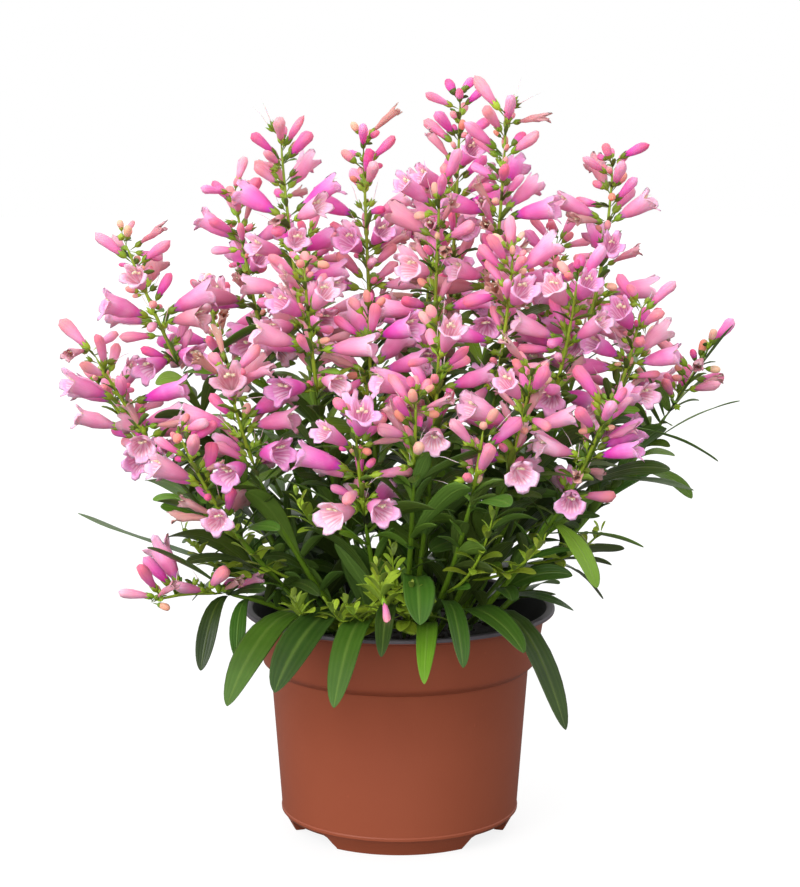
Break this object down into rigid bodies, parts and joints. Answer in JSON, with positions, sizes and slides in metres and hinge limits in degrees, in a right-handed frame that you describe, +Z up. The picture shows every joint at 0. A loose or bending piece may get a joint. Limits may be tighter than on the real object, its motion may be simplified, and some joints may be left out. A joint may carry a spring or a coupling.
{
  "type": "potted flowering perennial",
  "caption": "Bushy garden perennial in a round plastic nursery pot: leafy stems rise from the soil and end in sprays of two-lipped tubular flowers and buds.",
  "frame": {"origin": "centre of the pot's foot on the surface it stands on", "axes": "+Z up, -Y towards the front of the picture"},
  "size_m": [0.3657, 0.2904, 0.4076],
  "materials": {
    "pot_plastic": "satin injection-moulded plastic, terracotta brown outside, dark grey at the lip and inside",
    "soil": "moist dark potting soil with fibres",
    "foliage": "glossy mid to dark green leaves with a pale midrib, yellow-green stems and calyces",
    "petals": "soft satin petals, pink with a violet base and a pale throat, buds tipped with coral"
  },
  "bodies": {
    "root": {"pot": "pot_plastic", "soil": "soil", "leafy_stem_a": "foliage", "leafy_stem_b": "foliage", "leafy_stem_c": "foliage", "leafy_stem_d": "foliage", "leafy_stem_e": "foliage", "leafy_stem_f": "foliage", "leafy_stem_g": "foliage", "leafy_stem_h": "foliage", "leafy_stem_i": "foliage", "leafy_stem_j": "foliage", "leafy_stem_k": "foliage", "leafy_stem_m": "foliage", "leafy_stem_n": "foliage", "leafy_stem_o": "foliage", "leafy_stem_p": "foliage", "leafy_stem_r": "foliage", "leafy_stem_u": "foliage", "leafy_stem_v": "foliage", "leafy_stem_w": "foliage", "leafy_stem_x": "foliage", "leafy_stem_y": "foliage", "leafy_stem_z": "foliage", "leafy_stem_back_1": "foliage", "leafy_stem_back_2": "foliage", "leafy_stem_back_3": "foliage", "leafy_stem_back_4": "foliage", "leafy_stem_back_5": "foliage", "bud_stem_right": "foliage", "bud_stem_low_left": "foliage", "bud_stem_front": "foliage", "bud_stem_front_right": "foliage", "flower_spray_a": "petals", "flower_spray_b": "petals", "flower_spray_c": "petals", "flower_spray_d": "petals", "flower_spray_e": "petals", "flower_spray_f": "petals", "flower_spray_g": "petals", "flower_spray_h": "petals", "flower_spray_i": "petals", "flower_spray_j": "petals", "flower_spray_k": "petals", "flower_spray_m": "petals", "flower_spray_n": "petals", "flower_spray_o": "petals", "flower_spray_p": "petals", "flower_spray_r": "petals", "flower_spray_u": "petals", "flower_spray_v": "petals", "flower_spray_w": "petals", "flower_spray_x": "petals", "flower_spray_y": "petals", "flower_spray_z": "petals", "flower_spray_back_1": "petals", "flower_spray_back_2": "petals", "flower_spray_back_3": "petals", "flower_spray_back_4": "petals", "flower_spray_back_5": "petals"}
  },
  "joints": []
}
